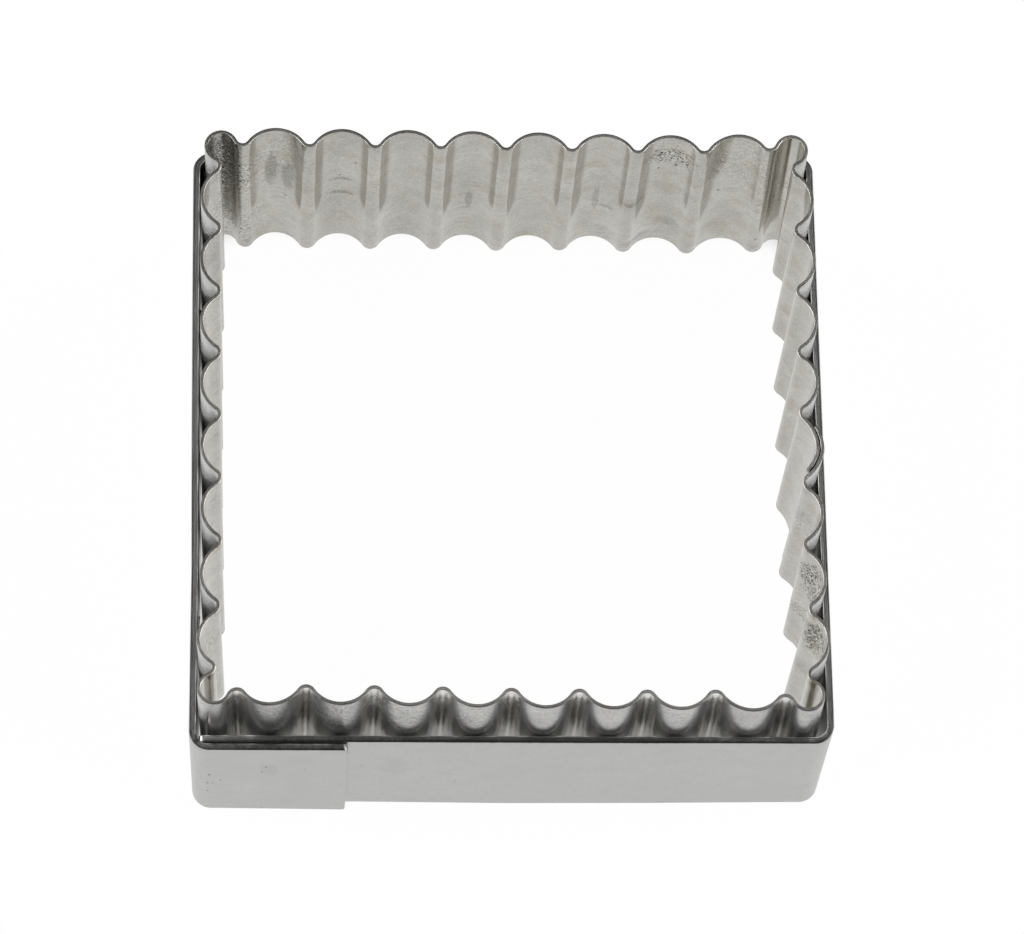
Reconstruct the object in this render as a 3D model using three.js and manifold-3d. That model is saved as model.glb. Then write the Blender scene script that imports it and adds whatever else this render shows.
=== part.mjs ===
// Square fluted dough cutter: a corrugated steel strip bent into a square blade, standing inside a
// plain steel band, the two spot-welded together. It stands on its plain edge, cutting edge up.
// Millimetres, +Z up, z = 0 on the table. The front wall, where the band's ends lap, faces -Y.
import * as THREE from "three";
import { mergeVertices } from "three/addons/utils/BufferGeometryUtils.js";
import Module from "manifold-3d";

// Driving dimensions. Radii and depths of the two strips are at the middle of the sheet.
const valleysPerSide = 9;
const flutePitch = 6.5; // valley to valley along a wall
const fluteDepth = 1.7; // valley to crest
const valleyRadius = 0.77;
const cornerReach = 3.93; // from a wall's last valley out to the next wall's crests
const cornerLobeInset = 0.35; // of the round lobe that turns the blade at a corner, behind the crests
const bladeSheet = 0.3;
const bladeHeight = 25;
const bladeLapFlute = 3; // flute of the right wall with the lap, counted from the front
const bladeLapLength = 4.6; // doubled stretch of that flute
const bladeLapGap = 0.1;
const bladeEndSetback = 0.25; // from the inner end to the next valley

const bandSheet = 0.62;
const bandHeight = 18.5;
const bandCornerRadius = 1.6;
const bandClearance = 0.33; // from the blade's crests to the band
const bandFrontSlack = 0.2; // more room than that at the front wall
const bandLapGap = 0.22;
const bandLapReach = 15.3; // from the left face to the end of the outer layer
const bandEndInset = 1.2; // from the left face to the end of the inner layer
const bandEndRounding = 0.8; // snipped corners of both ends

const weldRadius = 0.9;
const weldSeat = 0.02; // from a nugget to each sheet that it joins
const wallWeldFlutes = [1, 6]; // welded flutes of each wall
const wallWeldHeight = 9.5;
const lapWeldSpacing = 9; // between the two welds of a lap

const arcSteps = 4; // each arc of an outline gets twice as many straight steps

// Sizes that follow from them
const bladeLapStep = bladeSheet + bladeLapGap;
const bandLapStep = bandSheet + bandLapGap;
const crestRadius = ((flutePitch / 2) ** 2 + fluteDepth ** 2) / (2 * fluteDepth) - valleyRadius;
const lastValley = ((valleysPerSide - 1) / 2) * flutePitch;
const crestLine = lastValley + cornerReach; // from the cutter's middle to a wall's crests
const valleyCentreLine = crestLine - fluteDepth + valleyRadius;
const bladeFace = crestLine + bladeSheet / 2;
const bandInside = bladeFace + bandClearance;
const bandLine = bandInside + bandSheet / 2;
const bandFace = bandInside + bandSheet;
const bandFrontLine = bandLine + bandFrontSlack;

// A corner's lobe touches the last valleys of both walls. Its centre c, on the diagonal, is as far from
// their centres as the two radii together: (c - line)^2 + (c - last)^2 = (reach - c)^2, with reach for
// the lobe's crest plus the valley's radius.
const lobeReach = crestLine - cornerLobeInset + valleyRadius;
const lobeShift = valleyCentreLine + lastValley - lobeReach;
const lobeCentre =
  lobeShift +
  Math.sqrt(lobeShift ** 2 + lobeReach ** 2 - valleyCentreLine ** 2 - lastValley ** 2);
const lobeRadius = lobeReach - valleyRadius - lobeCentre;

const steel = (name, color, roughness) =>
  new THREE.MeshStandardMaterial({ name, color, roughness, metalness: 1 });

// Solids: closed meshes that can be joined and cut
const wasm = await Module();
wasm.setup();

function solidOf(geometry) {
  const bare = geometry.clone();
  bare.deleteAttribute("normal");
  bare.deleteAttribute("uv");
  const merged = mergeVertices(bare, 1e-4);
  return new wasm.Manifold(
    new wasm.Mesh({
      numProp: 3,
      vertProperties: new Float32Array(merged.attributes.position.array),
      triVerts: new Uint32Array(merged.index.array),
    }),
  );
}

function geometryOf(solid) {
  const mesh = solid.getMesh();
  const geometry = new THREE.BufferGeometry();
  geometry.setAttribute("position", new THREE.BufferAttribute(mesh.vertProperties, 3));
  geometry.setIndex(new THREE.BufferAttribute(mesh.triVerts, 1));
  geometry.computeVertexNormals();
  return geometry;
}

const extrude = (shape, depth) =>
  new THREE.ExtrudeGeometry(shape, { depth, bevelEnabled: false, curveSegments: arcSteps });

// A bent strip seen from above. Its path runs anticlockwise round the cutter as a list of arcs, with
// turn 1 to the left and -1 to the right, and loose ends of straight runs as points. The outline
// follows the path on its outer side and comes back on its inner side.
const looseEnd = (x, y) => ({ isPoint: true, x, y });
const arc = (centre, radius, turn, start, end) => ({ centre, radius, turn, start, end });

function drawSide(shape, path, offset, backwards) {
  for (const step of backwards ? [...path].reverse() : path) {
    if (step.isPoint) {
      shape.lineTo(step.x, step.y - offset); // both loose ends lie on the front wall
      continue;
    }
    const { centre, radius, turn, start, end } = step;
    const [from, to] = backwards ? [end, start] : [start, end];
    const clockwise = turn < 0 !== backwards;
    shape.absarc(centre.x, centre.y, radius + turn * offset, from, to, clockwise);
  }
}

function stripShape(path, sheet) {
  const shape = new THREE.Shape();
  const first = path[0];
  if (first.isPoint) shape.moveTo(first.x, first.y - sheet / 2);
  drawSide(shape, path, sheet / 2, false);
  drawSide(shape, path, -sheet / 2, true);
  shape.closePath();
  return shape;
}

// Fluted blade: wide crests and narrow valleys as arcs that run straight into each other
const direction = (from, to) => Math.atan2(to.y - from.y, to.x - from.x);
const wallTurn = (wall) => (wall * Math.PI) / 2; // walls: right, back, left, front
const onWall = (wall, out, along) =>
  new THREE.Vector2(out, along).rotateAround(new THREE.Vector2(), wallTurn(wall));

const valleyAt = (wall, index) => ({
  centre: onWall(wall, valleyCentreLine, index * flutePitch - lastValley),
  radius: valleyRadius,
  turn: -1,
});

const crestAlong = (index) => (index + 0.5) * flutePitch - lastValley;

const crestAt = (wall, index) => ({
  centre: onWall(wall, crestLine - crestRadius, crestAlong(index)),
  radius: crestRadius,
  turn: 1,
});

const lobeAt = (wall) => ({
  centre: onWall(wall, lobeCentre, lobeCentre),
  radius: lobeRadius,
  turn: 1,
});

// The two layers of the lap bend about one centre. The outer layer runs into the valley in front of the
// lap and keeps the depth of the other crests. The inner layer, one step narrower, runs into the valley
// behind. With c for the inner radius plus the valley's, the centre lies sqrt(2 depth c - depth^2) from
// the valley behind, which for the outer layer to reach its valley has to be reach - lean c.
function lapLayers() {
  const depth = fluteDepth - bladeLapStep; // of the inner layer
  const lean = bladeLapStep / flutePitch;
  const reach = flutePitch / 2 - bladeLapStep ** 2 / (2 * flutePitch);
  const linear = 2 * reach * lean + 2 * depth;
  const constant = reach ** 2 + depth ** 2;
  const innerSum = (2 * constant) / (linear + Math.sqrt(linear ** 2 - 4 * lean ** 2 * constant));
  const back = valleyAt(0, bladeLapFlute + 1).centre;
  const front = valleyAt(0, bladeLapFlute).centre;
  const centre = new THREE.Vector2(
    valleyCentreLine - (innerSum - depth),
    back.y - (reach - lean * innerSum),
  );
  const innerRadius = innerSum - valleyRadius;
  const outerRadius = innerRadius + bladeLapStep;
  const frontEnd = direction(centre, front);
  const setback = bladeEndSetback / innerRadius;
  const doubled = bladeLapLength / ((innerRadius + outerRadius) / 2);
  return {
    centre,
    innerRadius,
    outerRadius,
    frontEnd,
    innerStart: frontEnd + setback,
    outerEnd: frontEnd + setback + doubled,
    backEnd: direction(centre, back),
  };
}

function bladePath() {
  const lap = lapLayers();
  const bends = [];
  for (let index = bladeLapFlute + 1; index < valleysPerSide; index++) {
    bends.push(valleyAt(0, index));
    if (index < valleysPerSide - 1) bends.push(crestAt(0, index));
  }
  for (let wall = 1; wall < 4; wall++) {
    bends.push(lobeAt(wall - 1));
    for (let index = 0; index < valleysPerSide; index++) {
      bends.push(valleyAt(wall, index));
      if (index < valleysPerSide - 1) bends.push(crestAt(wall, index));
    }
  }
  bends.push(lobeAt(3));
  for (let index = 0; index <= bladeLapFlute; index++) {
    bends.push(valleyAt(0, index));
    if (index < bladeLapFlute) bends.push(crestAt(0, index));
  }
  const centres = [lap.centre, ...bends.map((bend) => bend.centre), lap.centre];
  const between = bends.map(({ centre, radius, turn }, i) =>
    arc(centre, radius, turn, direction(centre, centres[i]), direction(centre, centres[i + 2])),
  );
  return [
    arc(lap.centre, lap.innerRadius, 1, lap.innerStart, lap.backEnd),
    ...between,
    arc(lap.centre, lap.outerRadius, 1, lap.frontEnd, lap.outerEnd),
  ];
}

function flutedBlade() {
  const mesh = new THREE.Mesh(
    extrude(stripShape(bladePath(), bladeSheet), bladeHeight),
    steel("blade steel", 0xb6b4ae, 0.3),
  );
  mesh.name = "fluted_blade";
  return mesh;
}

// Outer band: four straight walls and round corners, its ends lapped on the front wall
const bandStart = -bandFace + bandEndInset;
const bandEnd = -bandFace + bandLapReach;

function bandPath() {
  const middle = bandLine - bandCornerRadius;
  const quarter = Math.PI / 2;
  const corner = (x, y, turns) =>
    arc(new THREE.Vector2(x, y), bandCornerRadius, 1, turns * quarter, (turns + 1) * quarter);
  return [
    looseEnd(bandStart, -bandFrontLine),
    corner(middle, -middle - bandFrontSlack, -1),
    corner(middle, middle, 0),
    corner(-middle, middle, 1),
    corner(-middle, -middle - bandFrontSlack - bandLapStep, 2),
    looseEnd(bandEnd, -bandFrontLine - bandLapStep),
  ];
}

// What is snipped from the corner of a strip's end, in its wall's plane: a square less a quarter disc
function cornerSnip(x, z, towardsX, towardsZ, y) {
  const margin = bandSheet / 2; // past the strip's end and edge
  const shape = new THREE.Shape();
  shape.moveTo(-margin, -margin);
  shape.lineTo(bandEndRounding, -margin);
  shape.lineTo(bandEndRounding, 0);
  shape.absarc(bandEndRounding, bandEndRounding, bandEndRounding, -Math.PI / 2, -Math.PI, true);
  shape.lineTo(-margin, bandEndRounding);
  shape.closePath();
  const depth = bandSheet + bandLapGap; // stops halfway to the other layer
  const geometry = extrude(shape, depth).translate(0, 0, -depth / 2);
  geometry.rotateZ(Math.atan2(towardsZ, towardsX) - Math.PI / 4);
  geometry.rotateX(Math.PI / 2);
  return solidOf(geometry.translate(x, y, z));
}

function outerBand() {
  let solid = solidOf(extrude(stripShape(bandPath(), bandSheet), bandHeight));
  for (const [x, inwards, y] of [
    [bandStart, 1, -bandFrontLine],
    [bandEnd, -1, -bandFrontLine - bandLapStep],
  ]) {
    solid = solid.subtract(cornerSnip(x, 0, inwards, 1, y));
    solid = solid.subtract(cornerSnip(x, bandHeight, inwards, -1, y));
  }
  const mesh = new THREE.Mesh(geometryOf(solid), steel("band steel", 0xb8b8b6, 0.32));
  mesh.name = "outer_band";
  return mesh;
}

// Weld nuggets: round buttons of molten steel between the two sheets that they hold
function roundNugget(plan, faceTurn) {
  const block = extrude(plan, 2 * weldRadius).translate(0, 0, -weldRadius);
  const length = 2 * bandLine;
  const round = new THREE.CylinderGeometry(weldRadius, weldRadius, length, 8 * arcSteps);
  round.rotateZ(Math.PI / 2).rotateZ(faceTurn);
  round.translate((Math.cos(faceTurn) * length) / 2, (Math.sin(faceTurn) * length) / 2, 0);
  return geometryOf(solidOf(block).intersect(solidOf(round)));
}

function nugget(name, geometry) {
  const mesh = new THREE.Mesh(geometry, steel("weld metal", 0x8f8d88, 0.5));
  mesh.name = name;
  return mesh;
}

// From a crest of the right wall to the band, slack further away, with the crest's middle at y = 0
function wallNuggetGeometry(slack) {
  const centreX = crestLine - crestRadius;
  const seatRadius = crestRadius + bladeSheet / 2 + weldSeat;
  const bandSide = bandInside + slack - weldSeat;
  const halfAngle = Math.asin(weldRadius / seatRadius);
  const plan = new THREE.Shape();
  plan.absarc(centreX, 0, seatRadius, halfAngle, -halfAngle, true);
  plan.lineTo(bandSide, -weldRadius);
  plan.lineTo(bandSide, weldRadius);
  plan.closePath();
  return roundNugget(plan, 0);
}

function wallWelds() {
  const group = new THREE.Group();
  ["right", "back", "left", "front"].forEach((side, wall) => {
    const geometry = wallNuggetGeometry(side === "front" ? bandFrontSlack : 0);
    const wallGroup = new THREE.Group();
    wallGroup.rotation.z = wallTurn(wall);
    wallWeldFlutes.forEach((flute, count) => {
      const mesh = nugget(`wall_weld_${side}_${count + 1}`, geometry);
      mesh.position.set(0, crestAlong(flute), wallWeldHeight);
      wallGroup.add(mesh);
    });
    group.add(wallGroup);
  });
  return group;
}

const lapHeights = (middle) => ({
  lower: middle - lapWeldSpacing / 2,
  upper: middle + lapWeldSpacing / 2,
});

function bandLapWelds() {
  const group = new THREE.Group();
  const thickness = bandLapGap - 2 * weldSeat;
  const geometry = new THREE.CylinderGeometry(weldRadius, weldRadius, thickness, 8 * arcSteps);
  for (const [place, height] of Object.entries(lapHeights(bandHeight / 2))) {
    const mesh = nugget(`band_lap_weld_${place}`, geometry);
    mesh.position.set((bandStart + bandEnd) / 2, -bandFrontLine - bandLapStep / 2, height);
    group.add(mesh);
  }
  return group;
}

// Curved with the two layers of the blade's lap, about the middle of its doubled stretch
function bladeLapWelds() {
  const lap = lapLayers();
  const middle = (lap.innerStart + lap.outerEnd) / 2;
  const inner = lap.innerRadius + bladeSheet / 2 + weldSeat;
  const outer = lap.outerRadius - bladeSheet / 2 - weldSeat;
  const halfAngle = Math.asin(weldRadius / inner);
  const plan = new THREE.Shape();
  plan.absarc(0, 0, outer, middle - halfAngle, middle + halfAngle, false);
  plan.absarc(0, 0, inner, middle + halfAngle, middle - halfAngle, true);
  plan.closePath();
  const geometry = roundNugget(plan, middle);
  const group = new THREE.Group();
  for (const [place, height] of Object.entries(lapHeights(bladeHeight / 2))) {
    const mesh = nugget(`blade_lap_weld_${place}`, geometry);
    mesh.position.set(lap.centre.x, lap.centre.y, height);
    group.add(mesh);
  }
  return group;
}

// The whole cutter, with its origin under the middle of its overall box
const cutter = new THREE.Group();
const lapShift = new THREE.Group();
lapShift.position.y = (bandFrontSlack + bandLapStep) / 2;
lapShift.add(outerBand(), flutedBlade(), wallWelds(), bandLapWelds(), bladeLapWelds());
cutter.add(lapShift);

export default cutter;
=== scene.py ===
import math
from collections import namedtuple

import bpy
import numpy as np
from mathutils import Matrix, Vector


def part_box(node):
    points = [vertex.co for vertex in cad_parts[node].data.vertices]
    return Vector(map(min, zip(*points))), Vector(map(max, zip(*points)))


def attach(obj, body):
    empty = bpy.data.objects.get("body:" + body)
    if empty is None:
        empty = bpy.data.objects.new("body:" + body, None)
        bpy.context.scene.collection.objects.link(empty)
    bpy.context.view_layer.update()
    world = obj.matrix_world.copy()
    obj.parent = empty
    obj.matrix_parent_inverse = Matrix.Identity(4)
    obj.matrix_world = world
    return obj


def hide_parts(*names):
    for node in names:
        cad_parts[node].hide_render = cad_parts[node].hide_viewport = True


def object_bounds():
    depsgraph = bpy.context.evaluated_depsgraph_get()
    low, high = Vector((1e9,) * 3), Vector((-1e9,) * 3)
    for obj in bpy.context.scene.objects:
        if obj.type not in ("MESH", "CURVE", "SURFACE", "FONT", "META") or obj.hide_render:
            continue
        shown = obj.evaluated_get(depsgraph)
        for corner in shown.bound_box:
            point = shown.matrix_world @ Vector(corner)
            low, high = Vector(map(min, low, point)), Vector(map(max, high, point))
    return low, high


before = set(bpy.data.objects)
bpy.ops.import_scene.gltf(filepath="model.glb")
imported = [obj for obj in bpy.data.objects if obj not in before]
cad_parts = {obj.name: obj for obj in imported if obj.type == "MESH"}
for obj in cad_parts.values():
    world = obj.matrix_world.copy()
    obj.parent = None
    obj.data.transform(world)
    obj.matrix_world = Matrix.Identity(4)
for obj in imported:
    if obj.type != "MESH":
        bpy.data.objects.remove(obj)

cad_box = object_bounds()

# Camera. It looks steeply down on the cutter from the front, a little from the left, through a long lens,
# so that the insides of the back and side walls show, and the outside of the front wall.
mm = 0.001
blade_low, blade_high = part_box("fluted_blade")
blade_middle = (blade_low.y + blade_high.y) / 2
scene = bpy.context.scene
scene.view_settings.view_transform = "Standard"
camera_from_middle = Vector((-25.26, -208.81, 548.16)) * mm
camera_turn = math.radians(-7.08)
camera_tilt = math.radians(21.39)
camera_roll = math.radians(6.91)
camera_data = bpy.data.cameras.new("camera")
camera_data.sensor_width = 36
camera_data.lens = 205.1
camera = bpy.data.objects.new("camera", camera_data)
camera.matrix_world = (
    Matrix.Translation(camera_from_middle + Vector((0, blade_middle, 0)))
    @ Matrix.Rotation(camera_turn, 4, "Z")
    @ Matrix.Rotation(camera_tilt, 4, "X")
    @ Matrix.Rotation(camera_roll, 4, "Z")
)
scene.collection.objects.link(camera)
scene.camera = camera


# Fluted blade. One long strip of thin stainless steel, pressed into wide flutes with narrow valleys
# between them and bent into a square. Its two ends lap over one flute of the right wall, where they are
# spot-welded together.
blade_height = blade_high.z - blade_low.z
blade_sheet = 0.34 * mm
blade_edge_rounding = 0.04 * mm
blade_end_rounding = 0.06 * mm
row_height = 1.6 * mm
valleys_per_side = 9
flute_pitch = 6.5 * mm
flute_depth = 1.7 * mm
valley_radius = 0.77 * mm
lobe_inset = 0.35 * mm
lap_flute = 3
lap_length = 4.4 * mm
lap_gap = 0.14 * mm
lap_setback = 0.45 * mm

crest_radius = ((flute_pitch / 2) ** 2 + flute_depth**2) / (2 * flute_depth) - valley_radius
last_valley = (valleys_per_side - 1) / 2 * flute_pitch
crest_line = -blade_low.x - blade_sheet / 2
valley_centre = crest_line - flute_depth + valley_radius

# A corner lobe touches the valleys beside it and stops a little short of the line of the crests.
lobe_reach = crest_line - lobe_inset + valley_radius
lobe_shift = valley_centre + last_valley - lobe_reach
lobe_centre = lobe_shift + math.sqrt(lobe_shift**2 + lobe_reach**2 - valley_centre**2 - last_valley**2)

# Both layers of the lap bend about one centre. The outer one runs into the valley in front of the lap and
# has the depth of the other crests, the inner one, a step narrower, runs into the valley behind.
lap_step = blade_sheet + lap_gap
lap_depth = flute_depth - lap_step
lap_lean = lap_step / flute_pitch
lap_reach = flute_pitch / 2 - lap_step**2 / (2 * flute_pitch)
lap_linear = 2 * lap_reach * lap_lean + 2 * lap_depth
lap_square = lap_reach**2 + lap_depth**2
lap_sum = 2 * lap_square / (lap_linear + math.sqrt(lap_linear**2 - 4 * lap_lean**2 * lap_square))
lap_to_back = lap_reach - lap_lean * lap_sum
lap_radius = lap_sum - valley_radius
lap_sides = (lap_to_back, flute_pitch - lap_to_back)
lap_angle = sum(math.atan2(reach, lap_sum - lap_depth) for reach in lap_sides)
doubled_angle = lap_setback / lap_radius + lap_length / (lap_radius + lap_step / 2)
lap_end_trim = (lap_angle - doubled_angle) * (lap_radius + lap_step)
flute_sizes = {
    "Pitch": flute_pitch,
    "Last valley": last_valley,
    "Valley centre": valley_centre,
    "Valley radius": valley_radius,
    "Crest centre": crest_line - crest_radius,
    "Crest radius": crest_radius,
    "Lobe centre": lobe_centre,
    "Lobe radius": lobe_reach - valley_radius - lobe_centre,
    "Lap centre": valley_centre - lap_sum + lap_depth,
    "Lap along": (lap_flute + 1) * flute_pitch - last_valley - lap_to_back,
    "Lap radius": lap_radius,
    "Lap step": lap_step,
    "Middle": blade_middle,
    "Height": blade_height,
}


class Wire:
    """An output of a node. Arithmetic on wires and numbers adds Math nodes to their tree."""

    def __init__(self, socket):
        self.socket = socket

    @staticmethod
    def pick(sockets, key):
        if isinstance(key, int):
            return sockets[key]
        return next(s for s in sockets if s.enabled and key in (s.name, s.identifier))

    @staticmethod
    def node(tree, kind, settings=None, inputs=None, output=0):
        """One output of a new node, which gets its settings first and then its values and links."""
        node = tree.nodes.new(kind)
        for name, value in (settings or {}).items():
            if name == "stops":
                elements = node.color_ramp.elements
                for _ in value[2:]:
                    elements.new(1)
                for element, (position, shade) in zip(elements, value):
                    element.position = position
                    element.color = (shade, shade, shade, 1)
            else:
                setattr(node, name, value)
        for key, value in (inputs or {}).items():
            socket = Wire.pick(node.inputs, key)
            if isinstance(value, Wire):
                tree.links.new(value.socket, socket)
            elif socket.type == "RGBA":
                socket.default_value = (*value, 1)
            else:
                socket.default_value = value
        if node.outputs:
            return Wire(Wire.pick(node.outputs, output))

    def other(self, output):
        """Another output of the same node."""
        return Wire(Wire.pick(self.socket.node.outputs, output))

    @staticmethod
    def maths(operation, *values):
        tree = next(v for v in values if isinstance(v, Wire)).socket.id_data
        return Wire.node(tree, "ShaderNodeMath", {"operation": operation}, dict(enumerate(values)))

    def __add__(self, value):
        return Wire.maths("ADD", self, value)

    __radd__ = __add__

    def __sub__(self, value):
        return Wire.maths("SUBTRACT", self, value)

    def __rsub__(self, value):
        return Wire.maths("SUBTRACT", value, self)

    def __mul__(self, value):
        return Wire.maths("MULTIPLY", self, value)

    def __truediv__(self, value):
        return Wire.maths("DIVIDE", self, value)

    def __mod__(self, value):
        return Wire.maths("FLOORED_MODULO", self, value)

    def __gt__(self, value):
        return Wire.maths("GREATER_THAN", self, value)


def shape_tree(name, sizes, *others):
    """A new geometry tree with an input for each size, and a wire of its inputs."""
    tree = bpy.data.node_groups.new(name, "GeometryNodeTree")
    tree.interface.new_socket("Geometry", in_out="INPUT", socket_type="NodeSocketGeometry")
    for size in sizes:
        tree.interface.new_socket(size, in_out="INPUT", socket_type="NodeSocketFloat")
    for kind in others:
        tree.interface.new_socket(kind, in_out="INPUT", socket_type=f"NodeSocket{kind}")
    tree.interface.new_socket("Geometry", in_out="OUTPUT", socket_type="NodeSocketGeometry")
    return tree, Wire.node(tree, "NodeGroupInput")


def flute_tree():
    """The blade's path: arcs that run into each other, each ending where its neighbours' centres point."""
    tree, given = shape_tree("flutes", flute_sizes)
    size = {name: given.other(name) for name in flute_sizes}
    bends_per_wall = 2 * valleys_per_side
    bends = 4 * bends_per_wall
    steps = 16

    def bend(count):
        """Centre, radius and turn of a bend, counted from the inner layer of the lap."""
        place = (count + 2 * lap_flute + 1) % bends
        wall = Wire.maths("FLOOR", place / bends_per_wall)
        within = place - wall * bends_per_wall
        crest = within % 2
        lobe = within > bends_per_wall - 1.5
        outer = Wire.maths("COMPARE", count, bends, 0.5)
        lap = Wire.maths("COMPARE", count, 0, 0.5) + outer
        out = (
            size["Valley centre"]
            + crest * (size["Crest centre"] - size["Valley centre"])
            + lobe * (size["Lobe centre"] - size["Crest centre"])
            + lap * (size["Lap centre"] - size["Crest centre"])
        )
        regular = within * size["Pitch"] / 2 - size["Last valley"]
        along = regular + lobe * (size["Lobe centre"] - regular) + lap * (size["Lap along"] - regular)
        radius = (
            size["Valley radius"]
            + crest * (size["Crest radius"] - size["Valley radius"])
            + lobe * (size["Lobe radius"] - size["Crest radius"])
            + lap * (size["Lap radius"] - size["Crest radius"])
            + outer * size["Lap step"]
        )
        cosine = Wire.maths("COSINE", wall * (math.pi / 2))
        sine = Wire.maths("SINE", wall * (math.pi / 2))
        return out * cosine - along * sine, out * sine + along * cosine, radius, crest * 2 - 1

    index = Wire.node(tree, "GeometryNodeInputIndex")
    count = Wire.maths("MINIMUM", Wire.maths("FLOOR", index / steps), bends)
    before_x, before_y, _, _ = bend(count - 1)
    x, y, radius, turn = bend(count)
    after_x, after_y, _, _ = bend(count + 1)
    start = Wire.maths("ARCTAN2", before_y - y, before_x - x)
    end = Wire.maths("ARCTAN2", after_y - y, after_x - x)
    sweep = turn * ((turn * (end - start)) % (2 * math.pi))
    angle = start + (index / steps - count) * sweep
    position = Wire.node(tree, "ShaderNodeCombineXYZ", inputs={
        "X": x + radius * Wire.maths("COSINE", angle),
        "Y": y + radius * Wire.maths("SINE", angle) + size["Middle"],
        "Z": size["Height"] / 2,
    })
    points = Wire.node(tree, "GeometryNodeMeshLine", inputs={"Count": (bends + 1) * steps + 1})
    placed = Wire.node(tree, "GeometryNodeSetPosition", inputs={"Geometry": points, "Position": position})
    Wire.node(tree, "NodeGroupOutput", inputs={"Geometry": placed})
    return tree


def strip_tree():
    """A strip of sheet on edge along a line, its cut edges rounded and the corners of its ends snipped."""
    sizes = ["Sheet", "Height", "Edge rounding", "End rounding", "Row height", "Start trim", "End trim"]
    tree, given = shape_tree("bent strip", sizes, "Material")
    sheet, height, edge_rounding, end_rounding, row, start_trim, end_trim = map(given.other, sizes)

    line = Wire.node(tree, "GeometryNodeMeshToCurve", inputs={"Mesh": given.other("Geometry")})
    length = Wire.node(tree, "GeometryNodeSplineLength")
    path = Wire.node(tree, "GeometryNodeTrimCurve", {"mode": "LENGTH"}, {
        "Curve": line,
        "Start_001": start_trim,
        "End_001": length - end_trim,
    })
    measured = Wire.node(tree, "GeometryNodeSetCurveNormal", {"mode": "Z_UP"}, {"Curve": path})
    along = Wire.node(tree, "GeometryNodeSplineParameter", output="Length")
    for name, value in (("along", along), ("from_end", Wire.maths("MINIMUM", along, length - along))):
        measured = Wire.node(tree, "GeometryNodeStoreNamedAttribute", {"domain": "POINT"}, {
            "Geometry": measured,
            "Name": name,
            "Value": value,
        })

    section = Wire.node(tree, "GeometryNodeCurvePrimitiveQuadrilateral", inputs={
        "Width": sheet,
        "Height": height,
    })
    rounded = Wire.node(tree, "GeometryNodeFilletCurve", {"mode": "POLY"}, {
        "Curve": section,
        "Count": 3,
        "Radius": edge_rounding,
    })
    place = Wire.node(tree, "GeometryNodeInputPosition")
    point = Wire.node(tree, "GeometryNodeInputIndex")
    following = Wire.node(tree, "GeometryNodeOffsetPointInCurve", inputs={
        "Point Index": point,
        "Offset": 1,
    }, output="Point Index")
    next_place = Wire.node(tree, "GeometryNodeFieldAtIndex", {"data_type": "FLOAT_VECTOR"}, {
        "Index": following,
        "Value": place,
    })
    side = Wire.node(tree, "ShaderNodeVectorMath", {"operation": "DISTANCE"}, {
        0: place,
        1: next_place,
    }, output="Value")
    rows = Wire.node(tree, "GeometryNodeSubdivideCurve", inputs={
        "Curve": rounded,
        "Cuts": Wire.maths("FLOOR", side / row),
    })
    apart = Wire.node(tree, "ShaderNodeSeparateXYZ", inputs={"Vector": place})
    lined = Wire.node(tree, "GeometryNodeStoreNamedAttribute", {"domain": "POINT"}, {
        "Geometry": rows,
        "Name": "across",
        "Value": apart,
    })
    swept = Wire.node(tree, "GeometryNodeCurveToMesh", inputs={
        "Curve": measured,
        "Profile Curve": lined,
        "Fill Caps": True,
    })

    from_end = Wire.node(tree, "GeometryNodeInputNamedAttribute", inputs={"Name": "from_end"})
    into_corner = Wire.maths("MAXIMUM", end_rounding - from_end, 0)
    drop = end_rounding - Wire.maths("SQRT", end_rounding * end_rounding - into_corner * into_corner)
    middle = height / 2
    snipped = Wire.node(tree, "GeometryNodeSetPosition", inputs={
        "Geometry": swept,
        "Position": Wire.node(tree, "ShaderNodeCombineXYZ", inputs={
            "X": apart,
            "Y": apart.other("Y"),
            "Z": middle + (apart.other("Z") - middle) * (1 - drop / middle),
        }),
    })
    smooth = Wire.node(tree, "GeometryNodeSetShadeSmooth", inputs={"Geometry": snipped})
    crease = Wire.node(tree, "GeometryNodeInputMeshEdgeAngle") > math.radians(45)
    creased = Wire.node(tree, "GeometryNodeSetShadeSmooth", {"domain": "EDGE"}, {
        "Geometry": smooth,
        "Selection": crease,
        "Shade Smooth": False,
    })
    realized = Wire.node(tree, "GeometryNodeRealizeInstances", inputs={"Geometry": creased})
    finished = Wire.node(tree, "GeometryNodeSetMaterial", inputs={
        "Geometry": realized,
        "Material": given.other("Material"),
    })
    Wire.node(tree, "NodeGroupOutput", inputs={"Geometry": finished})
    return tree


bent_strip = strip_tree()


def settled(piece):
    """The piece with its modifiers worked into a plain mesh."""
    depsgraph = bpy.context.evaluated_depsgraph_get()
    mesh = bpy.data.meshes.new_from_object(
        piece.evaluated_get(depsgraph), preserve_all_data_layers=True, depsgraph=depsgraph
    )
    mesh.name = piece.name
    piece.modifiers.clear()
    piece.data = mesh
    return piece


def formed(name, start, *trees):
    """A piece of plain mesh, made by geometry trees with their sizes, one after the other."""
    piece = bpy.data.objects.new(name, start)
    scene.collection.objects.link(piece)
    for tree, sizes in trees:
        modifier = piece.modifiers.new(tree.name, "NODES")
        modifier.node_group = tree
        for item in tree.interface.items_tree:
            if item.name in sizes:
                modifier[item.identifier] = sizes[item.name]
    return settled(piece)


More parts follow.
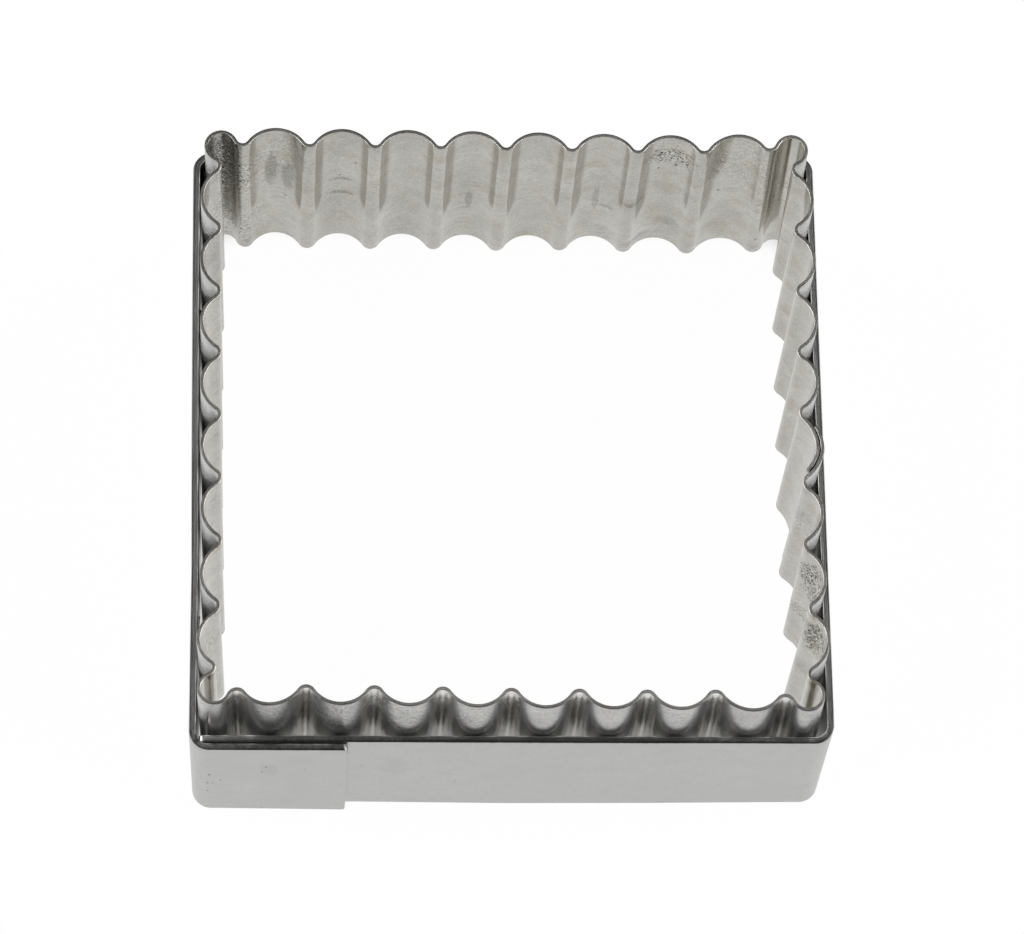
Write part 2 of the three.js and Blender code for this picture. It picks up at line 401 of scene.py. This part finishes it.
def bent_by_hand(piece, walls):
    """Moves each wall of a piece as far as it stands off the true square, in millimetres.

    The walls run anticlockwise from the right one. Each gives, at places spread evenly along it, how far
    it is moved along itself, and how far out it is at some heights.
    """
    wall_start = 0.7 * crest_line
    wall_fade = 0.2 * crest_line
    mesh = piece.data
    flat = np.empty(3 * len(mesh.vertices), np.float32)
    mesh.vertices.foreach_get("co", flat)
    points = flat.reshape(-1, 3).astype(float)
    height = points[:, 2] / mm
    centred = points[:, :2] - (0, blade_middle)
    for quarter, (slides, bows) in enumerate(walls):
        out = np.array((math.cos(quarter * math.pi / 2), math.sin(quarter * math.pi / 2)))
        sideways = np.array((-out[1], out[0]))

        def spread(row):
            return np.interp(centred @ sideways, np.linspace(-lobe_centre, lobe_centre, len(row)), row)

        levels = sorted(bows)
        bow = spread(bows[levels[0]])
        for lower, upper in zip(levels, levels[1:]):
            share = np.clip((height - lower) / (upper - lower), 0, 1)
            bow += share * (spread(bows[upper]) - spread(bows[lower]))
        near = np.clip((centred @ out - wall_start) / wall_fade, 0, 1) * mm
        points[:, :2] += (bow * near)[:, None] * out + (spread(slides) * near)[:, None] * sideways
    points = np.clip(points, np.array(cad_box[0]), np.array(cad_box[1]))
    mesh.vertices.foreach_set("co", points.astype(np.float32).ravel())
    mesh.update()
    piece.modifiers.new("flat faces", "WEIGHTED_NORMAL").keep_sharp = True
    return settled(piece)


Rim = namedtuple("Rim", "height sheet grain tone roughness")


def worn_steel(
    name, tint, stain, outside_tint, wear, inside_roughness, outside_roughness, rim, patches, spots_and_painted_light, nicks
):
    """Bare rolled steel that has been pressed and used.

    Its tone is cloudy and streaked along the strip, with stains, hairline scratches and dark specks.
    Patches are rippled and pitted, each with its centre, three reaches, depth and side of the sheet.
    Smears are soft spots with a change of tone instead: some are stains and smudges, others painted shade
    and painted light. Nicks are dark dots. At the rim and the top corners of its ends the sheet was cut: it
    has lines along the cut, a dark outer side, a light burr inside, and another tone and gloss. The top
    corners of the ends also get painted shade, a darker tone that hides their glint, and no burr.
    """
    material = bpy.data.materials.new(name)
    material.use_nodes = True
    tree = material.node_tree
    tree.nodes.clear()
    place = Wire.node(tree, "ShaderNodeTexCoord", output="Object")
    height = Wire.node(tree, "ShaderNodeSeparateXYZ", inputs={"Vector": place}, output="Z")
    along = Wire.node(tree, "ShaderNodeAttribute", {"attribute_name": "along"}, output="Fac")
    across = Wire.node(tree, "ShaderNodeAttribute", {"attribute_name": "across"}, output="Fac")
    from_end = Wire.node(tree, "ShaderNodeAttribute", {"attribute_name": "from_end"}, output="Fac")

    def noise(vector, scale, detail=2.0):
        return Wire.node(tree, "ShaderNodeTexNoise", inputs={
            "Vector": vector,
            "Scale": scale,
            "Detail": detail,
        })

    def drawn_out(first, first_scale, second, second_scale, detail=2.0):
        """Noise in two directions of the strip, with a scale for each."""
        vector = Wire.node(tree, "ShaderNodeCombineXYZ", inputs={
            "X": first * first_scale,
            "Y": second * second_scale,
        })
        return noise(vector, 1.0, detail)

    def rise(value, low, high):
        """0 below low and 1 above high, with a soft step between."""
        return Wire.node(tree, "ShaderNodeMapRange", {"interpolation_type": "SMOOTHSTEP"}, {
            "Value": value,
            "From Min": low,
            "From Max": high,
        })

    def cells(scale):
        """Distance to the nearest of many scattered points, in cell widths, and a random share of each."""
        nearest = Wire.node(tree, "ShaderNodeTexVoronoi", inputs={"Vector": place, "Scale": scale})
        share = Wire.node(tree, "ShaderNodeSeparateColor", inputs={"Color": nearest.other("Color")})
        return nearest, share

    def distance(centre, reaches):
        """How far from a centre, where 1 is the reach in each direction."""
        scale = Vector((1 / reach for reach in reaches))
        shifted = Wire.node(tree, "ShaderNodeMapping", inputs={
            "Vector": place,
            "Location": -centre * scale,
            "Scale": scale,
        })
        return Wire.node(tree, "ShaderNodeVectorMath", {"operation": "LENGTH"}, {0: shifted}, output="Value")

    clouds = noise(place, 140, 4.0)
    blotches = noise(place, 430, 3.0)
    grain = noise(place, 2300, 2.0)
    grit = noise(place, 4600, 1.0)
    streaks = drawn_out(along, 130, height, 2100, 3.0)
    flecks = drawn_out(along, 2200, height, 3600, 2.0)
    stains = drawn_out(along, 260, height, 340, 3.0)
    cut_lines = drawn_out(along, rim.grain, across, 9000, 2.0)

    outside = across > 0
    sides = {"inside": 1 - outside, "outside": outside, "both": 1.0}
    rough = 0.0
    for centre, reaches, depth, side in patches:
        gap = distance(centre, reaches) + (clouds - 0.5) + (blotches - 0.5) * 0.6
        rough = Wire.maths("MAXIMUM", (1 - rise(gap, 0.3, 1.0)) * depth * sides[side], rough)
    nicked = 0.0
    nick_depth = 4 * mm
    for centre, reach in nicks:
        gap = distance(centre, (reach, nick_depth, 1.7 * reach)) + grain - 0.5
        nicked = Wire.maths("MAXIMUM", 1 - rise(gap, 0.5, 1.0), nicked)
    spot_tone_and_painted_light = 0.0
    for centre, reaches, change, side in spots_and_painted_light:
        gap = distance(centre, reaches) + (grain - 0.5) * 0.6 + (clouds - 0.5) * 0.6
        spot_tone_and_painted_light = (1 - rise(gap, 0.55, 1.05)) * change * sides[side] + spot_tone_and_painted_light

    pits = (1 - rise(grit, 0.36, 0.42)) * rise(rough, 0.4, 1.1)
    speck_gap, speck_share = cells(430)
    specks = (1 - rise(speck_gap, 0.02, 0.07)) * (speck_share > 0.7)
    hair = Wire.maths("ABSOLUTE", noise(place, 210, 0.0) - 0.5)
    scratches = (1 - rise(hair, 0.0, 0.006)) * rise(clouds, 0.52, 0.62)
    ring = Wire.maths("ABSOLUTE", drawn_out(along, 140, height, 900, 1.0) - 0.5)
    arcs = (1 - rise(ring, 0.0, 0.03)) * rise(clouds, 0.48, 0.6)
    marks = Wire.maths("MAXIMUM", Wire.maths("MAXIMUM", pits, specks), nicked)

    top_edge = rise(height, rim.height - 0.09 * mm, rim.height - 0.03 * mm)
    near_top = rise(height, rim.height - 1.0 * mm, rim.height - 0.6 * mm)
    # Painted shade: the tone below darkens the top corners of the strip's ends, so that they show no glint.
    corner = (1 - rise(from_end, 0.02 * mm, 0.08 * mm)) * near_top
    cut = Wire.maths("MAXIMUM", top_edge, corner)
    outer_side = rise(across, 0.0, 0.4 * rim.sheet)
    inner_side = 1 - rise(across, -0.47 * rim.sheet, -0.3 * rim.sheet)
    burr = outer_side * -0.45 + inner_side * 0.35
    tone = (
        0.94
        + (clouds - 0.5) * (wear * 0.55)
        + (blotches - 0.5) * (wear * 0.35)
        + (streaks - 0.5) * (wear * 0.14)
        + (flecks - 0.5) * (rough * 1.2)
        + (grain - 0.5) * (rough * 0.9 + wear * 0.18)
        + (grit - 0.5) * (rough * 0.9 + wear * 0.5)
        - rough * 0.03
        + spot_tone_and_painted_light
        - scratches * (wear * 0.18)
        - arcs * (wear * 0.15)
        - marks * 0.4
    ) * (1 + cut * ((cut_lines - 0.5) * 0.8 + burr * (1 - corner) - corner * 0.4 + (rim.tone - 1)))
    stained = Wire.node(tree, "ShaderNodeMix", {"data_type": "RGBA"}, {
        "Factor": rise(stains + (blotches - 0.5) * 0.5, 0.5, 0.72),
        "A": tint,
        "B": stain,
    }, output="Result")
    sided = Wire.node(tree, "ShaderNodeMix", {"data_type": "RGBA"}, {
        "Factor": outside,
        "A": stained,
        "B": outside_tint,
    }, output="Result")
    colour = Wire.node(tree, "ShaderNodeVectorMath", {"operation": "SCALE"}, {0: sided, "Scale": tone})
    roughness = inside_roughness + outside * (outside_roughness - inside_roughness)
    gloss = (
        roughness
        + (clouds - 0.5) * (wear * 0.12)
        + (streaks - 0.5) * (wear * 0.06)
        + rough * 0.1
        + marks * 0.2
        + cut * (rim.roughness - roughness)
    )
    relief = (
        (noise(place, 620) - 0.5) * 0.006 * mm
        + (streaks - 0.5) * (wear * 0.0006 * mm)
        + (flecks - 0.5) * (rough * 0.08 * mm)
        + (grain - 0.5) * (rough * 0.02 + wear * 0.0006) * mm
        + (grit - 0.5) * (rough * 0.02 * mm)
        + (cut_lines - 0.5) * (cut * 0.03 * mm)
        - pits * 0.035 * mm
    )
    normal = Wire.node(tree, "ShaderNodeBump", inputs={"Strength": 1.0, "Distance": 1.0, "Height": relief})
    surface = Wire.node(tree, "ShaderNodeBsdfPrincipled", inputs={
        "Base Color": colour,
        "Metallic": 0.95,
        "Roughness": gloss,
        "Normal": normal,
    })
    Wire.node(tree, "ShaderNodeOutputMaterial", inputs={"Surface": surface})
    return material


# The rough places are where the strip was bent hardest: at the back left corner and on a few crests.
blade_patches = [
    (Vector(centre) * mm, Vector(reaches) * mm, depth, side)
    for centre, reaches, depth, side in (
        ((-28.0, 29.5, 17.0), (6, 8, 9), 0.85, "inside"),
        ((-26.5, 30.0, 5.0), (5, 6, 6), 0.55, "inside"),
        ((-22.0, 30.4, 21.0), (4, 4, 4), 0.4, "inside"),
        ((-30.4, 23.3, 21.0), (3, 4, 5), 0.8, "inside"),
        ((-30.4, 16.8, 21.0), (3, 3, 5), 0.5, "inside"),
        ((-30.4, 10.3, 22.0), (3, 3, 4), 0.35, "inside"),
        ((-30.4, -3.0, 21.5), (3, 24, 4), 0.3, "inside"),
        ((-30.0, -21.5, 18.0), (3, 6, 8), 0.5, "inside"),
        ((16.3, 30.4, 21.0), (3.6, 5, 3.5), 1.0, "inside"),
        ((21.2, 30.0, 20.0), (2, 3, 4.5), 0.6, "inside"),
        ((24.3, 30.0, 19.5), (4, 6, 8), 0.4, "inside"),
        ((27.5, 30.0, 11.5), (3, 4, 7), 0.3, "inside"),
        ((29.5, -15.9, 19.0), (3, 4.5, 6), 2.0, "inside"),
        ((29.4, -20.8, 20.0), (3, 4, 5), 2.0, "inside"),
        ((28.9, -14.3, 10.0), (3, 3, 3), 0.7, "inside"),
        ((29.4, -8.0, 16.0), (3, 4, 6), 0.5, "inside"),
        ((-14.0, -29.4, 22.5), (16, 4, 4), 0.4, "outside"),
    )
]

# Inside, the smears are stains, painted shade at the edges of dents with painted highlights beside them,
# painted shade in the back left corner and a painted highlight over the back right lobe. Outside, the valleys
# of the front
# wall are painted lighter than its crests: painted light.
blade_stains_and_painted_light = [
    (Vector(centre) * mm, Vector(reaches) * mm, change, side)
    for centre, reaches, change, side in (
        # Painted shade in the back left corner.
        ((-28.7, 29.0, 15.0), (2.6, 3.5, 15.0), -0.3, "inside"),
        # Painted shade at the edges of dents, with a painted highlight beside one of them.
        ((-23.3, 30.2, 16.0), (0.7, 3.0, 4.5), -0.3, "inside"),
        ((-21.6, 30.4, 14.5), (0.7, 3.0, 4.0), -0.3, "inside"),
        ((-3.3, 30.4, 9.0), (0.45, 3.0, 2.6), -0.25, "inside"),
        ((9.5, 30.4, 9.5), (0.45, 3.0, 3.2), -0.25, "inside"),
        ((10.7, 30.4, 8.3), (1.0, 3.0, 0.6), -0.28, "inside"),
        ((13.2, 29.0, 11.9), (1.3, 3.0, 0.6), -0.28, "inside"),
        ((-16.2, 30.4, 13.9), (1.7, 3.0, 0.4), -0.28, "inside"),
        ((-16.2, 30.4, 10.6), (1.5, 3.0, 0.4), -0.3, "inside"),
        ((13.9, 30.0, 3.0), (1.7, 3.0, 0.6), 0.15, "inside"),
        ((13.9, 30.0, 1.8), (1.7, 3.0, 0.5), -0.2, "inside"),
        ((17.0, 30.4, 5.0), (1.5, 3.0, 1.3), -0.12, "inside"),
        # Painted highlight over the back right lobe, softening its dark bars.
        ((27.2, 30.0, 13.0), (2.0, 4.0, 16.0), 0.12, "inside"),
        ((-30.0, 22.0, 20.0), (3.0, 14.0, 9.0), -0.15, "inside"),
        ((-30.0, 0.0, 20.0), (3.0, 14.0, 9.0), -0.06, "inside"),
    )
]
# Painted light: outside, the valleys of the front wall are painted lighter than its crests.
for valley in range(valleys_per_side):
    valley_place = Vector((valley * flute_pitch - last_valley, 0, 0)) + Vector((-0.3, -28.0, 13.0)) * mm
    blade_stains_and_painted_light.append((valley_place, Vector((2.0, 1.6, 20.0)) * mm, 0.65, "outside"))
blade_nicks = [
    (Vector((side, 30.0, up)) * mm, 0.17 * mm)
    for side, up in (
        (-21.8, 9.8),
        (-16.4, 14.8),
        (-14.9, 18.4),
        (15.3, 18.0),
        (17.0, 18.8),
        (21.7, 12.7),
        (27.4, 11.6),
        (27.9, 18.0),
        (27.0, 6.4),
        (26.2, 3.2),
    )
]
blade_steel = worn_steel(
    "blade steel",
    tint=(0.55, 0.535, 0.49),
    stain=(0.49, 0.457, 0.39),
    outside_tint=(0.56, 0.555, 0.535),
    wear=1.0,
    inside_roughness=0.17,
    outside_roughness=0.23,
    rim=Rim(blade_height, blade_sheet, grain=900, tone=0.8, roughness=0.4),
    patches=blade_patches,
    spots_and_painted_light=blade_stains_and_painted_light,
    nicks=blade_nicks,
)
blade = formed(
    "blade",
    bpy.data.meshes.new("blade path"),
    (flute_tree(), flute_sizes),
    (bent_strip, {
        "Sheet": blade_sheet,
        "Height": blade_height,
        "Edge rounding": blade_edge_rounding,
        "End rounding": blade_end_rounding,
        "Row height": row_height,
        "Start trim": lap_setback,
        "End trim": lap_end_trim,
        "Material": blade_steel,
    }),
)
bent_by_hand(blade, [
    (
        (
            -0.50, -0.45, -0.40, -0.35, -0.32, -0.28, -0.40, -0.10,
            0.38, 0.42, 0.22, 0.15, 0.15, 0.18, 0.12, 0.10, 0.10,
        ),
        {
            0: (0.50, 0.00, 0.18, -0.12, -0.22, -0.12, -0.10, -0.05, 0.35),
            25: (
                0.24, 0.27, 0.32, 0.10, -0.10, -0.09, 0.02, 0.23,
                -0.10, -0.12, -0.08, -0.06, -0.05, -0.04, -0.03, 0.00, 0.00,
            ),
        },
    ),
    (
        (0.12, 0.20, 0.18, 0.05, 0.00),
        {
            0: (0.00, -0.22, -0.10, 0.06, -0.04, 0.08, 0.06, 0.12, 0.28),
            25: (0.05, -0.30, -0.32, -0.18, -0.10, 0.00, 0.05, 0.12, 0.22),
        },
    ),
    (
        (0.05, 0.05, 0.18, 0.17, 0.14, 0.12, 0.12, 0.28, 0.48),
        {0: (-0.18, -0.10, -0.14, -0.45, -0.40), 25: (0.13, 0.10, -0.04, -0.20, 0.18)},
    ),
    (
        (-0.24, -0.29, -0.30, -0.38, -0.38),
        {
            0: (0.00, 0.10, 0.12, 0.12, 0.05),
            11: (0.00, 0.18, 0.22, 0.22, 0.10),
            17.5: (0.00, 0.40, 0.48, 0.48, 0.15),
            25: (-0.50, -0.34, -0.12, 0.02, -0.05),
        },
    ),
])
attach(blade, "root")
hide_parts("fluted_blade")


# Outer band. A thicker plain strip of the same steel, bent into a square round the blade, its ends lapped
# on the left of the front wall and spot-welded there. It stops short of the cutting edge.
band_low, band_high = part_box("outer_band")
band_height = band_high.z - band_low.z
band_sheet = 0.66 * mm
band_edge_rounding = 0.07 * mm
band_corner_radius = 1.6 * mm
band_end_rounding = 0.45 * mm
band_lap_gap = 0.18 * mm
band_lap_reach = 15.3 * mm
band_end_inset = 0.95 * mm
band_wall_steps = 40
band_corner_steps = 12

band_inner_end = band_low.x + band_end_inset
band_line = band_high.x - band_sheet / 2
band_back = band_high.y - band_sheet / 2
band_lap = band_low.y + band_sheet / 2
band_front = band_lap + band_sheet + band_lap_gap


def band_path():
    """A line of points along the middle of the band's sheet, from the inner end to the outer one."""
    middle = band_line - band_corner_radius
    front = band_front + band_corner_radius
    back = band_back - band_corner_radius
    lap = band_lap + band_corner_radius
    points = [Vector((band_inner_end, band_front, band_height / 2))]

    def run_to(x, y, spacing=lambda share: share):
        start = points[-1].copy()
        finish = Vector((x, y, band_height / 2))
        for step in range(1, band_wall_steps + 1):
            points.append(start.lerp(finish, spacing(step / band_wall_steps)))

    def turn_about(x, y, quarter):
        for step in range(1, band_corner_steps + 1):
            angle = (quarter + step / band_corner_steps) * math.pi / 2
            points.append(Vector((
                x + band_corner_radius * math.cos(angle),
                y + band_corner_radius * math.sin(angle),
                band_height / 2,
            )))

    # The points are closest at the two ends, where the corners are rounded off.
    run_to(middle, band_front, lambda share: 1 - math.cos(share * math.pi / 2))
    turn_about(middle, front, -1)
    run_to(band_line, back)
    turn_about(middle, back, 0)
    run_to(-middle, band_back)
    turn_about(-middle, back, 1)
    run_to(-band_line, lap)
    turn_about(-middle, lap, 2)
    run_to(band_low.x + band_lap_reach, band_lap, lambda share: math.sin(share * math.pi / 2))
    mesh = bpy.data.meshes.new("band path")
    mesh.from_pydata(points, [(i, i + 1) for i in range(len(points) - 1)], [])
    return mesh


band_nicks = [
    (Vector((across * mm, band_low.y, up * mm)), reach * mm)
    for across, up, reach in (
        (-29.0, 10.7, 0.16),
        (-29.2, 8.1, 0.14),
        (-28.7, 8.2, 0.12),
        (-27.9, 9.0, 0.13),
        (-29.2, 5.6, 0.13),
        (-23.5, 13.2, 0.15),
        (-23.9, 11.7, 0.12),
        (-19.7, 12.6, 0.12),
    )
]
# Two faint smudges on the front face, then painted shade and painted light on the rim, the inside and the
# inner end.
band_smudges_and_painted_light = [
    (Vector(centre), Vector(reaches) * mm, change, side)
    for centre, reaches, change, side in (
        ((-11.0 * mm, band_front, 11.0 * mm), (1.8, 2.0, 3.0), -0.05, "outside"),
        ((-23.2 * mm, band_low.y, 12.4 * mm), (1.0, 0.5, 2.0), -0.06, "outside"),
        # Painted shade: the front rim, over both layers of the lap, is painted darker.
        ((0.0, band_front, band_height + 0.35 * mm), (80.0, 3.0, 0.6), -0.5, "both"),
        # The front rim is lighter again near the left corner.
        ((-27.0 * mm, band_front, band_height), (5.0, 0.5, 0.4), 0.3, "both"),
        # Painted light: the inside of the front wall is painted lighter, so that the flutes in front of it
        # mirror it brighter.
        ((0.0, band_front + 0.6 * mm, 9.0 * mm), (60.0, 0.5, 30.0), 0.5, "inside"),
        # Painted shade: the inner end of the band, tucked inside the lap, is painted darker, so that it shows
        # no glint.
        ((band_inner_end, band_front, band_height), (0.4, 0.6, 4.0), -0.6, "both"),
    )
]
band_steel = worn_steel(
    "band steel",
    tint=(0.56, 0.56, 0.55),
    stain=(0.54, 0.535, 0.515),
    outside_tint=(0.56, 0.56, 0.55),
    wear=0.3,
    inside_roughness=0.3,
    outside_roughness=0.3,
    rim=Rim(band_height, band_sheet, grain=60, tone=0.8, roughness=0.32),
    patches=[],
    spots_and_painted_light=band_smudges_and_painted_light,
    nicks=band_nicks,
)
band = formed(
    "band",
    band_path(),
    (bent_strip, {
        "Sheet": band_sheet,
        "Height": band_height,
        "Edge rounding": band_edge_rounding,
        "End rounding": band_end_rounding,
        "Row height": row_height,
        "Start trim": 0.0,
        "End trim": 0.0,
        "Material": band_steel,
    }),
)
straight = (0.00, 0.00)
bent_by_hand(band, [
    (straight, {0: (0.00, -0.10, -0.17, -0.27, -0.34)}),
    (straight, {0: (-0.40, -0.06, 0.00, 0.00, -0.06, -0.62)}),
    (straight, {0: (-0.20, -0.22, -0.27, -0.32, -0.30), 18.5: (-0.04, -0.06, -0.11, -0.20, -0.10)}),
    (straight, {0: (-0.14, 0.00, 0.12, 0.06, -0.08), 18.5: straight}),
])
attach(band, "root")
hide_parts("outer_band")


# Weld nuggets. Small round buttons of melted and set steel between the two sheets that they hold. They keep
# the solids of the frame.
weld_metal = worn_steel(
    "weld metal",
    tint=(0.38, 0.37, 0.36),
    stain=(0.25, 0.22, 0.19),
    outside_tint=(0.38, 0.37, 0.36),
    wear=1.0,
    inside_roughness=0.42,
    outside_roughness=0.42,
    rim=Rim(blade_height, blade_sheet, grain=900, tone=1.0, roughness=0.42),
    patches=[],
    spots_and_painted_light=[],
    nicks=[],
)
for node_name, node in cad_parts.items():
    if "_weld_" in node_name:
        node.data.materials.clear()
        node.data.materials.append(weld_metal)


# Floor and light. A wide white sheet under the cutter, lit softly from both sides, below a dark ceiling, so
# that the walls mirror a white floor and the rims a dark room.
floor_size = 6.0
floor_mesh = bpy.data.meshes.new("floor")
floor_mesh.from_pydata(
    [(x * floor_size, y * floor_size, 0) for x, y in ((-1, -1), (1, -1), (1, 1), (-1, 1))],
    [],
    [(0, 1, 2, 3)],
)
floor = bpy.data.objects.new("floor", floor_mesh)
scene.collection.objects.link(floor)
paper = bpy.data.materials.new("white paper")
paper.use_nodes = True
paper.node_tree.nodes.clear()
rays = Wire.node(paper.node_tree, "ShaderNodeLightPath", output="Is Camera Ray")
open_sky = Wire.node(paper.node_tree, "ShaderNodeAmbientOcclusion", {"samples": 6}, {
    "Distance": 3 * mm,
}, output="AO")
lit = Wire.node(paper.node_tree, "ShaderNodeMapRange", inputs={
    "Value": open_sky,
    "From Min": 0.04,
    "From Max": 0.25,
})
seen = Wire.maths("MAXIMUM", rays * lit, rays.other("Is Glossy Ray"))
seen = Wire.maths("MAXIMUM", seen, rays.other("Is Transmission Ray"))
white = Wire.node(paper.node_tree, "ShaderNodeMix", {"data_type": "RGBA"}, {
    "Factor": rays,
    "A": (0.82, 0.82, 0.82),
    "B": (1, 1, 1),
}, output="Result")
sheet = Wire.node(paper.node_tree, "ShaderNodeBsdfDiffuse", inputs={"Color": (0.9, 0.9, 0.9)})
glow = Wire.node(paper.node_tree, "ShaderNodeEmission", inputs={"Color": white, "Strength": 1.0})
shown = Wire.node(paper.node_tree, "ShaderNodeMixShader", inputs={0: seen * 0.98, 1: sheet, 2: glow})
Wire.node(paper.node_tree, "ShaderNodeOutputMaterial", inputs={"Surface": shown})
floor_mesh.materials.append(paper)

room = bpy.data.worlds.new("room")
scene.world = room
room.use_nodes = True
room.node_tree.nodes.clear()
heading = Wire.node(room.node_tree, "ShaderNodeTexCoord", output="Generated")
height = Wire.node(room.node_tree, "ShaderNodeSeparateXYZ", inputs={"Vector": heading}, output="Z")
ceiling = Wire.node(room.node_tree, "ShaderNodeValToRGB", {
    "stops": [(0.0, 0.3), (0.1, 0.16), (0.4, 0.07), (0.8, 0.05)],
}, {"Fac": height})
sky = Wire.node(room.node_tree, "ShaderNodeBackground", inputs={"Color": ceiling, "Strength": 1.0})
Wire.node(room.node_tree, "ShaderNodeOutputWorld", inputs={"Surface": sky})

for side in (-1, 1):
    lamp_data = bpy.data.lights.new("soft lamp", "AREA")
    lamp_data.shape = "SQUARE"
    lamp_data.size = 1.7
    lamp_data.energy = 40
    lamp = bpy.data.objects.new("soft lamp", lamp_data)
    lamp_place = Vector((side * 1.4, 0, 0.75))
    lamp_turn = lamp_place.to_track_quat("Z", "Y").to_matrix().to_4x4()
    lamp.matrix_world = Matrix.Translation(lamp_place) @ lamp_turn
    scene.collection.objects.link(lamp)
